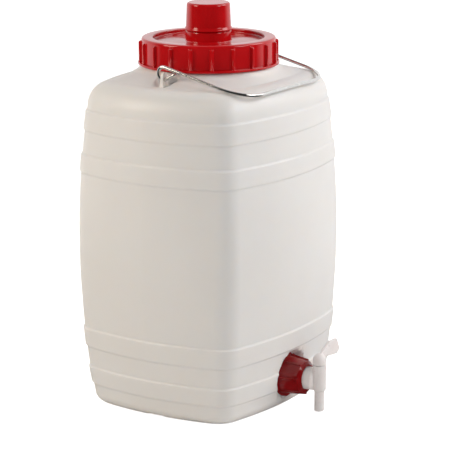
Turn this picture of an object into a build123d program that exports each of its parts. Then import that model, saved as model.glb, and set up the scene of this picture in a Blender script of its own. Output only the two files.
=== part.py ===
from build123d import *
import math
import os

# Rectangular drinks barrel with a wide screw lid, a wire bail and a spigot.
# Millimetres. +Z is up, -Y is the spigot's side. The origin is the middle of the base.

# ---- barrel: main form ----
HALF_X = 127.1            # half width of the belly, between the two lug sides
HALF_Y = 112.1            # half depth of the belly, spigot side to back
BELLY_Z = 188.9           # height of the widest section
BELLY_ARC = 1040.0        # radius of the upright belly curve
FOOT_ARC_X = 305.0        # plan radius of the +X and -X sides at the foot
FOOT_ARC_Y = 397.0        # plan radius of the +Y and -Y sides at the foot
TOP_ARC_X = 212.0         # the same two at the shoulder, where the sides are rounder
TOP_ARC_Y = 300.0
WALL = 2.2                # wall of the moulding
FOOT_RADIUS = 12.9        # rounding of the bottom edge
FOOT_CORNER = 24.0        # plan corner radius at the foot
UPPER_CORNER = 30.0       # plan corner radius from the belly to the shoulder
FOOT_PLAN_TO = 45.0       # the plan keeps the foot's radii up to this height
UPPER_CORNER_FROM = 115.0  # and has the upper corner radius from here
SHOULDER_Z = 318.4        # where the side starts to round over
SHOULDER_RADIUS = 25.0    # rounding of the shoulder's edge
DOME_RISE = 8.5           # slope of the shoulder from its edge to the neck
COVE_RISE = 2.5           # extra rise of the cove at the neck's root

# ---- barrel: hoops ----
HOOP_SPANS = ((21.0, 42.7), (62.3, 85.7), (248.2, 270.0), (292.1, 315.6))
HOOP_PROUD = 1.4          # how far a hoop stands out
HOOP_BEVEL = 1.0          # height of each hoop's bevelled edge

# ---- barrel: base ----
BASE_RIM = 16.0           # width of the rim that the barrel stands on
BASE_PUSH_UP = 3.0        # depth of the hollow inside that rim
PINCH_WIDTH = 20.0        # groove left by the mould's pinch-off, along X
PINCH_DEPTH = 2.6

# ---- wide neck ----
NECK_BORE_R = 61.0
NECK_WALL = 3.8
NECK_HEIGHT = 23.6        # threaded part, above the collar
COLLAR_R = 71.0           # root of the neck, just under the lid
COLLAR_HEIGHT = 1.0

# ---- lid ----
LID_CLEARANCE = 2.4       # room for the screw thread between neck and skirt
LID_WALL = 2.6
LID_BOTTOM_GAP = 1.0      # between the collar and the lid's lip
LID_LIP_PROUD = 3.8
LID_LIP_HEIGHT = 2.0
LID_TOP_FILLET = 2.2
RIM_WIDTH = 12.0          # raised ring round the lid's recessed top
RECESS_DEPTH = 4.2
RIB_COUNT = 20
RIB_RADIUS = 1.55         # half width of a grip rib, and its rounding
RIB_PROUD = 2.9
RIB_TOP_DROP = 3.5        # the ribs end this far under the lid's top
SEAL_THICKNESS = 2.2
SEAL_PLAY = 0.6           # between the seal's edges and the lid
SEAL_GAP = 0.1            # free play on each flat face of a seal

# ---- filler neck on the lid, and its cap ----
FILLER_BORE_R = 16.5
FILLER_WALL = 3.0
BOSS_R = 23.6
BOSS_HEIGHT = 10.9
CAP_CLEARANCE = 0.8       # room for the cap's screw thread
CAP_WALL = 3.2
CAP_TAPER = 1.1           # the cap's top is this much smaller in radius
CAP_HEIGHT = 28.8
CAP_LIP_GAP = 0.5         # between the boss and the cap's lip
CAP_LIP_PROUD = 1.3
CAP_LIP_HEIGHT = 3.6
CAP_ROOF = 3.2
CAP_FILLET = 3.0
CAP_SEAL_THICKNESS = 1.6
CAP_SEAL_PLAY = 0.3       # between the seal's rim and the cap

# ---- wire bail and its lugs ----
WIRE_R = 1.8
BAIL_BEND_R = 32.0
BAIL_REST_ANGLE = 47.6    # where the bar lies round the shoulder's edge, above level
BAIL_REST_GAP = 1.0       # between the bar and the shoulder at rest
EYE_R = 6.4               # centreline radius of the open eye at each end
EYE_TAIL_ANGLE = 27.0     # how far past the bottom the eye curls forward
EYE_TAIL = 12.5           # straight end of the wire
PIVOT_RISE = 13.2         # pivot line above the shoulder's edge
LUG_GAP = 5.4             # between the lid's lip and the lug
LUG_LENGTH = 8.0
LUG_THICKNESS = 2.8
LUG_HOLE_CLEARANCE = 0.5
LUG_ROUNDING = 2.4
LUG_TOP_RISE = 1.0        # lug above the pivot line
POCKET_CLEARANCE = 6.4    # scoop in the shoulder round each eye
POCKET_LENGTH = 19.0

# ---- tap outlet on the barrel ----
OUTLET_Z = 34.2
OUTLET_RECESS_DEPTH = 6.0
OUTLET_RECESS_MARGIN = 0.9
OUTLET_BORE_R = 11.0
OUTLET_WALL = 4.6
OUTLET_LENGTH = 18.0

# ---- union nut ----
NUT_CLEARANCE = 0.6       # room for the nut's thread
NUT_BACK_GAP = 0.4
NUT_BACK_WALL = 4.0
NUT_FRONT_WALL = 1.4
NUT_FLANGE_PROUD = 3.5
NUT_FLANGE_THICKNESS = 1.8
NUT_LIP = 2.8
NUT_LIP_PLAY = 0.5        # between the nut's front hole and the tap's barrel
NUT_RIM_DEPTH = 1.6       # rim round the nut's front face
NUT_RIM_WALL = 2.2
NUT_RIB_COUNT = 8
NUT_RIB_TURN = 11.25      # the first rib's bearing, in degrees
NUT_RIB_WIDTH = 2.4
NUT_RIB_PROUD = 1.6

# ---- tap ----
GASKET_THICKNESS = 1.6
TAP_FLANGE = 2.6
TAP_BARREL_R = 11.9
TAP_BARREL_SHOW = 6.9     # length of the tap's barrel between the nut and the chamber
TAP_BARREL_CHAMFER = 2.0
TAP_BARREL_BORE_R = 8.5
TAP_BARREL_BORE_END = 1.85  # wall left between the wide bore and the chamber's front
CHAMBER_WALL = 2.2
CHAMBER_BORE_R = 4.9
CHAMBER_BELOW = 10.3      # chamber below the outlet's axis
CHAMBER_ABOVE = 16.2
CHAMBER_FLOOR = 1.4       # ledge that the plug turns on
SPOUT_WALL = 1.8
SPOUT_BORE_R = 3.4
SPOUT_BOTTOM = 1.0
SPOUT_CHAMFER = 0.4

# ---- plug and lever ----
PLUG_CLEARANCE = 0.05
PLUG_PORT_R = 3.0
PLUG_BORE_R = 3.2
PLUG_END_GAP = 0.3
PLUG_ROOF = 4.0           # solid part of the plug above its port
HEAD_OVERHANG = 0.15      # the head is this much smaller than the chamber
HEAD_COLLAR = 4.0
HEAD_DOME = 8.2
LEVER_THICKNESS = 3.2
LEVER_REACH = 40.0
LEVER_RISE = 8.4          # flag above the head's top
LEVER_HEIGHT = 16.8       # height of the flag near its tip
LEVER_WAIST_X = 13.0      # where the lever widens into the flag
LEVER_WAIST_RISE = 1.8
LEVER_TIP_SLANT = 6.0
LEVER_ROUNDING = 2.4

# ---- derived sizes ----
SHOULDER_TOP = SHOULDER_Z + SHOULDER_RADIUS
COLLAR_TOP = SHOULDER_TOP + DOME_RISE + COVE_RISE + COLLAR_HEIGHT
NECK_TOP = COLLAR_TOP + NECK_HEIGHT
NECK_R = NECK_BORE_R + NECK_WALL
SKIRT_BORE_R = NECK_R + LID_CLEARANCE
SKIRT_R = SKIRT_BORE_R + LID_WALL
LID_LIP_R = SKIRT_R + LID_LIP_PROUD
LID_BOTTOM = COLLAR_TOP + LID_BOTTOM_GAP
LID_CEILING = NECK_TOP + SEAL_THICKNESS + 2 * SEAL_GAP
LID_TOP = LID_CEILING + LID_WALL
RECESS_R = SKIRT_R - RIM_WIDTH
RECESS_FLOOR = LID_TOP - RECESS_DEPTH
LID_UNDERSIDE = RECESS_FLOOR - LID_WALL
BOSS_TOP = RECESS_FLOOR + BOSS_HEIGHT
FILLER_R = FILLER_BORE_R + FILLER_WALL
CAP_BORE_R = FILLER_R + CAP_CLEARANCE
CAP_R = CAP_BORE_R + CAP_WALL
CAP_BOTTOM = BOSS_TOP + CAP_LIP_GAP
CAP_TOP = CAP_BOTTOM + CAP_HEIGHT
CAP_CEILING = CAP_TOP - CAP_ROOF
FILLER_TOP = CAP_CEILING - CAP_SEAL_THICKNESS - 2 * SEAL_GAP
BAIL_HALF_SPAN = LID_LIP_R + LUG_GAP + LUG_LENGTH / 2
PIVOT_Z = SHOULDER_TOP + PIVOT_RISE
POCKET_R = EYE_R + WIRE_R + POCKET_CLEARANCE
OUTLET_R = OUTLET_BORE_R + OUTLET_WALL
NUT_BORE_R = OUTLET_R + NUT_CLEARANCE
NUT_BACK_R = NUT_BORE_R + NUT_BACK_WALL
NUT_FRONT_R = NUT_BORE_R + NUT_FRONT_WALL
NUT_FLANGE_R = NUT_BACK_R + NUT_FLANGE_PROUD
OUTLET_RECESS_R = NUT_FLANGE_R + OUTLET_RECESS_MARGIN
CHAMBER_R = CHAMBER_BORE_R + CHAMBER_WALL
CHAMBER_BOTTOM = OUTLET_Z - CHAMBER_BELOW
CHAMBER_TOP = OUTLET_Z + CHAMBER_ABOVE
SPOUT_R = SPOUT_BORE_R + SPOUT_WALL
PLUG_R = CHAMBER_BORE_R - PLUG_CLEARANCE
HEAD_R = CHAMBER_R - HEAD_OVERHANG
HEAD_TOP = CHAMBER_TOP + PLUG_END_GAP + HEAD_COLLAR + HEAD_DOME


def belly_half_x(z):
    """Half width at a height, from the upright belly curve."""
    return HALF_X - (z - BELLY_Z) ** 2 / (2 * BELLY_ARC)


def belly_half_y(z):
    """Half depth at a height."""
    return belly_half_x(z) - (HALF_X - HALF_Y)


OUTLET_FACE_Y = belly_half_y(OUTLET_Z) - OUTLET_RECESS_DEPTH  # the recess's floor, from the middle
OUTLET_END = OUTLET_FACE_Y + OUTLET_LENGTH
FLANGE_BACK = OUTLET_END + GASKET_THICKNESS
FLANGE_FRONT = FLANGE_BACK + TAP_FLANGE
NUT_BACK = OUTLET_FACE_Y + NUT_BACK_GAP
NUT_LIP_FRONT = FLANGE_FRONT + NUT_LIP
NUT_FRONT = NUT_LIP_FRONT + NUT_RIM_DEPTH
TAP_AXIS_Y = NUT_FRONT + TAP_BARREL_SHOW + CHAMBER_R
BAR_OUT = SHOULDER_RADIUS + WIRE_R + BAIL_REST_GAP  # the bar, from the middle of the rounding
BAR_Y = belly_half_y(SHOULDER_Z) - SHOULDER_RADIUS + BAR_OUT * math.cos(math.radians(BAIL_REST_ANGLE))
BAR_Z = SHOULDER_Z + BAR_OUT * math.sin(math.radians(BAIL_REST_ANGLE))


# ---- plan outlines: eight tangent arcs, given as sixteen points ----

def share_of_rise(z, low, high):
    """How far a height is from one level to another, from 0 to 1."""
    return min(1.0, max(0.0, (z - low) / (high - low)))


def corner_radius(z):
    """Plan corner radius at a height."""
    return FOOT_CORNER + (UPPER_CORNER - FOOT_CORNER) * share_of_rise(z, FOOT_PLAN_TO, UPPER_CORNER_FROM)


def side_arcs(z):
    """Plan radii of the X sides and of the Y sides at a height."""
    share = share_of_rise(z, FOOT_PLAN_TO, SHOULDER_Z)
    return FOOT_ARC_X + (TOP_ARC_X - FOOT_ARC_X) * share, FOOT_ARC_Y + (TOP_ARC_Y - FOOT_ARC_Y) * share


def quarter_points(half_x, half_y, corner, arc_x, arc_y):
    """Plan points of one quarter, from the middle of the +X side to the middle of the +Y side."""
    side_x = (half_x - arc_x, 0.0)
    side_y = (0.0, half_y - arc_y)
    reach_x = arc_x - corner
    reach_y = arc_y - corner
    gap = math.dist(side_x, side_y)
    along = (reach_x ** 2 - reach_y ** 2 + gap ** 2) / (2 * gap)
    across = math.sqrt(reach_x ** 2 - along ** 2)
    ux = (side_y[0] - side_x[0]) / gap
    uy = (side_y[1] - side_x[1]) / gap
    centre = (side_x[0] + ux * along - uy * across, side_x[1] + uy * along + ux * across)
    angle_x = math.atan2(centre[1] - side_x[1], centre[0] - side_x[0])
    angle_y = math.atan2(centre[1] - side_y[1], centre[0] - side_y[0])
    angle_mid = (angle_x + angle_y) / 2
    middle_x = (half_x, 0.0)
    join_x = (side_x[0] + arc_x * math.cos(angle_x), side_x[1] + arc_x * math.sin(angle_x))
    middle_corner = (centre[0] + corner * math.cos(angle_mid), centre[1] + corner * math.sin(angle_mid))
    join_y = (side_y[0] + arc_y * math.cos(angle_y), side_y[1] + arc_y * math.sin(angle_y))
    return [middle_x, join_x, middle_corner, join_y]


def outline(half_x, corner, z):
    """The whole plan outline at a height: the quarter mirrored round, as sixteen points."""
    half_y = half_x - (HALF_X - HALF_Y)
    quarter = quarter_points(half_x, half_y, corner, *side_arcs(z))
    first = quarter + [(0.0, half_y)]
    second = [(-x, y) for x, y in reversed(quarter)]
    upper = first + second
    lower = [(-x, -y) for x, y in upper[1:-1]]
    return upper + lower


def circle_like(points, radius):
    """A circle's points at the same bearings as the given ones."""
    bearings = [math.atan2(y, x) for x, y in points]
    return [(radius * math.cos(b), radius * math.sin(b)) for b in bearings]


def between(first, second, share):
    """Points part of the way from one outline to another."""
    return [(a + (c - a) * share, b + (d - b) * share) for (a, b), (c, d) in zip(first, second)]


def ring_wire(points, z):
    """A closed wire of eight arcs through sixteen plan points."""
    joints = [Vector(x, y, z) for x, y in points]
    arcs = []
    for i in range(1, 16, 2):
        arcs.append(Edge.make_three_point_arc(joints[i], joints[(i + 1) % 16], joints[(i + 2) % 16]))
    return Wire(arcs)


# ---- barrel ----

def foot_levels(inset):
    """Rounded bottom edge."""
    centre = belly_half_x(FOOT_RADIUS) - FOOT_RADIUS
    radius = FOOT_RADIUS - inset
    steps = 5
    levels = []
    for i in range(steps + 1):
        angle = math.pi / 2 * i / steps
        half = centre + radius * math.sin(angle)
        z = FOOT_RADIUS - radius * math.cos(angle)
        levels.append((z, outline(half, FOOT_CORNER - inset, z)))
    return levels


def side_levels(inset):
    """Belly curve with the hoops standing out of it."""
    step = 15.0
    heights = []
    count = round((SHOULDER_Z - FOOT_RADIUS) / step)
    for i in range(1, count + 1):
        heights.append((FOOT_RADIUS + (SHOULDER_Z - FOOT_RADIUS) * i / count, 0.0))
    for low, high in HOOP_SPANS:
        heights = [(z, out) for z, out in heights if not low - 2 < z < high + 2]
        heights += [(low, 0.0), (low + HOOP_BEVEL, HOOP_PROUD)]
        heights += [(high - HOOP_BEVEL, HOOP_PROUD), (high, 0.0)]
    heights.sort()
    return [
        (z, outline(belly_half_x(z) + out - inset, corner_radius(z) - inset, z)) for z, out in heights
    ]


def shoulder_levels(inset):
    """Rounded edge of the shoulder."""
    centre = belly_half_x(SHOULDER_Z) - SHOULDER_RADIUS
    radius = SHOULDER_RADIUS - inset
    steps = 6
    levels = []
    for i in range(1, steps + 1):
        angle = math.pi / 2 * i / steps
        drawn_in = radius * (1 - math.cos(angle))
        corner = UPPER_CORNER - inset - drawn_in / 2
        z = SHOULDER_Z + radius * math.sin(angle)
        levels.append((z, outline(centre + radius - drawn_in, corner, z)))
    return levels


def dome_levels(edge, edge_z, radius, rise, cove):
    """Slope from the shoulder's edge to a round opening."""
    round_end = circle_like(edge, radius)
    shares = (0.2, 0.4, 0.6, 0.75, 0.85, 0.93, 1.0)
    return [(edge_z + rise * t + cove * t ** 8, between(edge, round_end, t)) for t in shares]


def stacked(levels):
    """A solid through all the levels, each joined to the next by straight rulings."""
    return Solid.make_loft([ring_wire(points, z) for z, points in levels], ruled=True)


def outer_form():
    levels = foot_levels(0.0) + side_levels(0.0) + shoulder_levels(0.0)
    edge_z, edge = levels[-1]
    return Part() + stacked(levels + dome_levels(edge, edge_z, COLLAR_R, DOME_RISE, COVE_RISE))


def inner_form():
    levels = foot_levels(WALL) + side_levels(WALL) + shoulder_levels(WALL)
    edge_z, edge = levels[-1]
    edge_x = max(x for x, y in edge)
    rise = DOME_RISE * (edge_x - NECK_BORE_R) / (edge_x - COLLAR_R)
    return Part() + stacked(levels + dome_levels(edge, edge_z, NECK_BORE_R, rise, 0.0))


def base_hollow(grow):
    """Push-up inside the base rim, and the pinch groove that crosses the rim."""
    flat_x = belly_half_x(FOOT_RADIUS) - FOOT_RADIUS
    plan = outline(flat_x - BASE_RIM + grow, FOOT_CORNER - BASE_RIM + grow, 0.0)
    push_up = extrude(Face(ring_wire(plan, 0)), BASE_PUSH_UP + grow)
    groove_height = PINCH_DEPTH + grow
    groove = Pos(0, 0, groove_height / 2) * Box(2 * HALF_X, PINCH_WIDTH + 2 * grow, groove_height)
    return Part() + push_up + groove


def outlet_recess(grow):
    """Flat round recess behind the nut, cut from the spigot's side."""
    depth = HALF_Y - OUTLET_FACE_Y + grow + WALL
    middle = -(OUTLET_FACE_Y - grow) - depth / 2
    return Pos(0, middle, OUTLET_Z) * Rot(90, 0, 0) * Cylinder(OUTLET_RECESS_R + grow, depth)


def hook_pocket(side, grow):
    """Scoop in the shoulder that clears the eye of the bail."""
    place = Pos(side * BAIL_HALF_SPAN, 0, PIVOT_Z) * Rot(0, 90, 0)
    return place * Cylinder(POCKET_R + grow, POCKET_LENGTH + 2 * grow)


def lug(side):
    """Upright fin with the hole that the bail hooks through."""
    top = PIVOT_Z + LUG_TOP_RISE
    bottom = PIVOT_Z - POCKET_R - WALL / 2
    fin = Pos(side * BAIL_HALF_SPAN, 0, (top + bottom) / 2) * Box(LUG_LENGTH, LUG_THICKNESS, top - bottom)
    fin = fillet(fin.edges().filter_by(Axis.Y).group_by(Axis.Z)[-1], LUG_ROUNDING)
    hole = Cylinder(WIRE_R + LUG_HOLE_CLEARANCE, 2 * LUG_THICKNESS)
    return fin - Pos(side * BAIL_HALF_SPAN, 0, PIVOT_Z - EYE_R) * Rot(90, 0, 0) * hole


def barrel():
    outside = outer_form() - base_hollow(0.0) - outlet_recess(0.0)
    inside = inner_form() - base_hollow(WALL) - outlet_recess(WALL)
    for side in (-1, 1):
        outside -= hook_pocket(side, 0.0)
        inside -= hook_pocket(side, WALL)
    neck_length = NECK_TOP - SHOULDER_Z
    outside += Pos(0, 0, NECK_TOP - neck_length / 2) * Cylinder(NECK_R, neck_length)
    collar_height = COLLAR_HEIGHT + COVE_RISE
    outside += Pos(0, 0, COLLAR_TOP - collar_height / 2) * Cylinder(COLLAR_R, collar_height)
    stub_length = OUTLET_END - OUTLET_FACE_Y + WALL
    stub = Pos(0, -OUTLET_END + stub_length / 2, OUTLET_Z) * Rot(90, 0, 0)
    outside += stub * Cylinder(OUTLET_R, stub_length)
    shell = outside - inside
    for side in (-1, 1):
        shell += lug(side)
    shell -= Pos(0, 0, NECK_TOP) * Cylinder(NECK_BORE_R, 2 * neck_length)
    return shell - stub * Cylinder(OUTLET_BORE_R, 4 * stub_length)


# ---- lid, its seal, the cap and its seal ----

def turned(points, axis=Axis.Z):
    """A turned solid from the (radius, height) points of its half section."""
    profile = Polyline(*[(r, 0, h) for r, h in points], close=True)
    return revolve(Face(Wire(profile.edges())), axis, 360)


def lid_profile():
    fillet_steps = 4
    points = [(SKIRT_BORE_R, LID_BOTTOM), (LID_LIP_R, LID_BOTTOM)]
    points += [(LID_LIP_R, LID_BOTTOM + LID_LIP_HEIGHT), (SKIRT_R, LID_BOTTOM + LID_LIP_HEIGHT)]
    for i in range(fillet_steps + 1):
        angle = math.pi / 2 * i / fillet_steps
        radius = SKIRT_R - LID_TOP_FILLET + LID_TOP_FILLET * math.cos(angle)
        points.append((radius, LID_TOP - LID_TOP_FILLET + LID_TOP_FILLET * math.sin(angle)))
    points += [(RECESS_R, LID_TOP), (RECESS_R, RECESS_FLOOR), (BOSS_R, RECESS_FLOOR)]
    points += [(BOSS_R, BOSS_TOP), (FILLER_R, BOSS_TOP), (FILLER_R, FILLER_TOP), (FILLER_BORE_R, FILLER_TOP)]
    points += [(FILLER_BORE_R, BOSS_TOP - LID_WALL), (BOSS_R - LID_WALL, BOSS_TOP - LID_WALL)]
    points += [(BOSS_R - LID_WALL, LID_UNDERSIDE), (RECESS_R + LID_WALL, LID_UNDERSIDE)]
    points += [(RECESS_R + LID_WALL, LID_CEILING), (SKIRT_BORE_R, LID_CEILING)]
    return points


def grip_rib():
    """One upright rib with a rounded crest and a rounded top end."""
    bottom = LID_BOTTOM + LID_LIP_HEIGHT / 2
    top = LID_TOP - RIB_TOP_DROP - RIB_RADIUS
    crest_x = SKIRT_R + RIB_PROUD - RIB_RADIUS
    root_x = SKIRT_R - LID_WALL / 2
    crest = Pos(crest_x, 0, (top + bottom) / 2) * Cylinder(RIB_RADIUS, top - bottom)
    crest += Pos(crest_x, 0, top) * Sphere(RIB_RADIUS)
    root = Pos((crest_x + root_x) / 2, 0, (top + bottom) / 2)
    return crest + root * Box(crest_x - root_x, 2 * RIB_RADIUS, top - bottom)


def lid():
    rib = grip_rib()
    ribs = [Rot(0, 0, 360 * i / RIB_COUNT) * rib for i in range(RIB_COUNT)]
    return turned(lid_profile()) + ribs


def flat_ring(inner, outer, bottom, thickness):
    ring = Cylinder(outer, thickness) - Cylinder(inner, 2 * thickness)
    return Pos(0, 0, bottom + thickness / 2) * ring


def lid_seal():
    inner = RECESS_R + LID_WALL + SEAL_PLAY
    outer = SKIRT_BORE_R - SEAL_PLAY
    return flat_ring(inner, outer, NECK_TOP + SEAL_GAP, SEAL_THICKNESS)


def cap():
    lip_r = CAP_R + CAP_LIP_PROUD
    shell = turned([
        (0, CAP_CEILING), (CAP_BORE_R, CAP_CEILING), (CAP_BORE_R, CAP_BOTTOM),
        (lip_r, CAP_BOTTOM), (lip_r, CAP_BOTTOM + CAP_LIP_HEIGHT / 3),
        (CAP_R, CAP_BOTTOM + CAP_LIP_HEIGHT), (CAP_R - CAP_TAPER, CAP_TOP), (0, CAP_TOP),
    ])
    return fillet(shell.edges().filter_by(GeomType.CIRCLE).group_by(Axis.Z)[-1], CAP_FILLET)


def cap_seal():
    disc = Cylinder(CAP_BORE_R - CAP_SEAL_PLAY, CAP_SEAL_THICKNESS)
    return Pos(0, 0, FILLER_TOP + SEAL_GAP + CAP_SEAL_THICKNESS / 2) * disc


# ---- bail ----

def bail_path():
    """Centreline of the whole wire: eye, arm, bar, arm, eye."""
    drop = PIVOT_Z - BAR_Z
    slant = math.atan2(drop, BAR_Y) + math.asin(EYE_R / math.hypot(drop, BAR_Y))
    arm = Vector(0, -math.cos(slant), -math.sin(slant))

    def on_eye(side, angle):
        return Vector(side * BAIL_HALF_SPAN, EYE_R * math.sin(angle), PIVOT_Z + EYE_R * math.cos(angle))

    def eye(side):
        """Tail, curl and the point where the arm begins."""
        last = math.pi + math.radians(EYE_TAIL_ANGLE)
        along = Vector(0, math.cos(last), -math.sin(last))
        tail = Line(on_eye(side, last) + along * EYE_TAIL, on_eye(side, last))
        half = (last - slant) / 2
        curl = ThreePointArc(on_eye(side, last), on_eye(side, half), on_eye(side, -slant))
        return [tail, curl], on_eye(side, -slant)

    left, left_start = eye(-1)
    right, right_start = eye(1)
    left_corner = Vector(-BAIL_HALF_SPAN, -BAR_Y, BAR_Z)
    right_corner = Vector(BAIL_HALF_SPAN, -BAR_Y, BAR_Z)
    across = Vector(1, 0, 0)
    short = 1 - math.sqrt(0.5)

    def bend(corner, inward):
        start = corner - arm * BAIL_BEND_R
        end = corner + inward * BAIL_BEND_R
        middle = corner + (inward - arm) * (BAIL_BEND_R * short)
        return start, middle, end

    a, b, c = bend(left_corner, across)
    d, e, f = bend(right_corner, across * -1)
    pieces = left + [Line(left_start, a), ThreePointArc(a, b, c), Line(c, f)]
    pieces += [ThreePointArc(f, e, d), Line(d, right_start)] + list(reversed(right))
    edges = [edge for piece in pieces for edge in piece.edges()]
    return Wire(edges), edges


def bail():
    path, edges = bail_path()
    start = path.position_at(0)
    section = Plane(start, z_dir=path.tangent_at(0)) * Circle(WIRE_R)
    return sweep(section, path, transition=Transition.ROUND)


# ---- spigot ----

def along_outlet(points):
    """A solid turned about the outlet's axis, from (radius, distance from the middle) points."""
    return Pos(0, 0, OUTLET_Z) * Rot(90, 0, 0) * turned(points)


def union_nut():
    body = along_outlet([
        (NUT_BORE_R, NUT_BACK), (NUT_FLANGE_R, NUT_BACK), (NUT_FLANGE_R, NUT_BACK + NUT_FLANGE_THICKNESS),
        (NUT_BACK_R, NUT_BACK + NUT_FLANGE_THICKNESS), (NUT_FRONT_R, NUT_FRONT),
        (NUT_FRONT_R - NUT_RIM_WALL, NUT_FRONT), (NUT_FRONT_R - NUT_RIM_WALL, NUT_LIP_FRONT),
        (TAP_BARREL_R + NUT_LIP_PLAY, NUT_LIP_FRONT), (TAP_BARREL_R + NUT_LIP_PLAY, FLANGE_FRONT),
        (NUT_BORE_R, FLANGE_FRONT),
    ])
    wall_middle = (NUT_BORE_R + NUT_FRONT_R) / 2
    rib_plan = Polyline(
        (wall_middle, 0, NUT_BACK), (NUT_BACK_R + NUT_RIB_PROUD, 0, NUT_BACK),
        (NUT_FRONT_R + NUT_RIB_PROUD, 0, NUT_FRONT), (wall_middle, 0, NUT_FRONT), close=True,
    )
    rib = extrude(Face(Wire(rib_plan.edges())), NUT_RIB_WIDTH / 2, both=True)
    place = Pos(0, 0, OUTLET_Z) * Rot(90, 0, 0)
    bearings = [NUT_RIB_TURN + 360 * i / NUT_RIB_COUNT for i in range(NUT_RIB_COUNT)]
    return body + [place * Rot(0, 0, bearing) * rib for bearing in bearings]


def tap_gasket():
    return along_outlet([
        (OUTLET_BORE_R, OUTLET_END), (OUTLET_R, OUTLET_END),
        (OUTLET_R, FLANGE_BACK), (OUTLET_BORE_R, FLANGE_BACK),
    ])


def tap_body():
    barrel_end = TAP_AXIS_Y - CHAMBER_R / 2
    inlet = along_outlet([
        (0, FLANGE_BACK), (OUTLET_R, FLANGE_BACK), (OUTLET_R, FLANGE_FRONT),
        (TAP_BARREL_R, FLANGE_FRONT), (TAP_BARREL_R, barrel_end - TAP_BARREL_CHAMFER),
        (TAP_BARREL_R - TAP_BARREL_CHAMFER, barrel_end),
        (0, barrel_end),
    ])
    chamber = Pos(0, -TAP_AXIS_Y, 0) * turned([
        (0, SPOUT_BOTTOM), (SPOUT_R - SPOUT_CHAMFER, SPOUT_BOTTOM),
        (SPOUT_R, SPOUT_BOTTOM + SPOUT_CHAMFER), (SPOUT_R, CHAMBER_BOTTOM - (CHAMBER_R - SPOUT_R)),
        (CHAMBER_R, CHAMBER_BOTTOM), (CHAMBER_R, CHAMBER_TOP), (0, CHAMBER_TOP),
    ])
    ledge = CHAMBER_BOTTOM + CHAMBER_FLOOR
    bore = Pos(0, -TAP_AXIS_Y, 0) * turned([
        (0, SPOUT_BOTTOM - 1), (SPOUT_BORE_R, SPOUT_BOTTOM - 1), (SPOUT_BORE_R, ledge),
        (CHAMBER_BORE_R, ledge), (CHAMBER_BORE_R, CHAMBER_TOP + 1), (0, CHAMBER_TOP + 1),
    ])
    wide_end = TAP_AXIS_Y - CHAMBER_R - TAP_BARREL_BORE_END
    inlet_bore = along_outlet([
        (0, FLANGE_BACK - 1), (TAP_BARREL_BORE_R, FLANGE_BACK - 1),
        (TAP_BARREL_BORE_R, wide_end), (PLUG_PORT_R, wide_end),
        (PLUG_PORT_R, TAP_AXIS_Y), (0, TAP_AXIS_Y),
    ])
    return inlet + chamber - bore - inlet_bore


def lever():
    """Flag-shaped lever, in the plane of the plug's axis."""
    top = HEAD_TOP + LEVER_RISE
    bottom = top - LEVER_HEIGHT
    root = HEAD_TOP - HEAD_DOME
    tip = LEVER_REACH - LEVER_TIP_SLANT
    plan = Polyline(
        (0, 0, root), (LEVER_WAIST_X, 0, bottom + LEVER_WAIST_RISE), (tip, 0, bottom),
        (LEVER_REACH, 0, bottom + LEVER_HEIGHT / 4), (tip, 0, top),
        (LEVER_REACH / 2, 0, top), (0, 0, HEAD_TOP - LEVER_THICKNESS / 2), close=True,
    )
    plate = extrude(Face(Wire(plan.edges())), LEVER_THICKNESS / 2, both=True)
    outer = plate.edges().filter_by(Axis.Y).sort_by(Axis.X)[-4:]
    return fillet(outer, LEVER_ROUNDING)


def tap_plug():
    floor = CHAMBER_BOTTOM + CHAMBER_FLOOR + PLUG_END_GAP
    head = CHAMBER_TOP + PLUG_END_GAP
    dome_steps = 6
    points = [(0, floor), (PLUG_R, floor), (PLUG_R, head), (HEAD_R, head)]
    for i in range(dome_steps):
        angle = math.pi / 2 * i / dome_steps
        points.append((HEAD_R * math.cos(angle), head + HEAD_COLLAR + HEAD_DOME * math.sin(angle)))
    shape = turned(points + [(0, HEAD_TOP)]) + lever()
    bore_top = OUTLET_Z + PLUG_PORT_R + PLUG_ROOF
    shape -= Pos(0, 0, floor) * Cylinder(PLUG_BORE_R, 2 * (bore_top - floor))
    shape -= Pos(-PLUG_R / 2, 0, OUTLET_Z) * Rot(0, 90, 0) * Cylinder(PLUG_PORT_R, PLUG_R + 1)
    return Pos(0, -TAP_AXIS_Y, 0) * shape


PARTS = {
    "barrel": barrel,
    "lid": lid,
    "lid_seal": lid_seal,
    "cap": cap,
    "cap_seal": cap_seal,
    "bail": bail,
    "union_nut": union_nut,
    "tap_gasket": tap_gasket,
    "tap_body": tap_body,
    "tap_plug": tap_plug,
}

os.makedirs("parts", exist_ok=True)
for name, make in PARTS.items():
    shape = make()
    solids = shape.solids()
    export_step(solids[0] if len(solids) == 1 else Compound(children=list(solids)), f"parts/{name}.step")
    print(name, len(solids), round(sum(s.volume for s in solids), 1))
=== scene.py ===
"""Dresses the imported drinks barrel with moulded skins, finishes, a studio and a camera, in metres."""
import math

import bmesh
import bpy
from mathutils import Matrix, Vector


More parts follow.
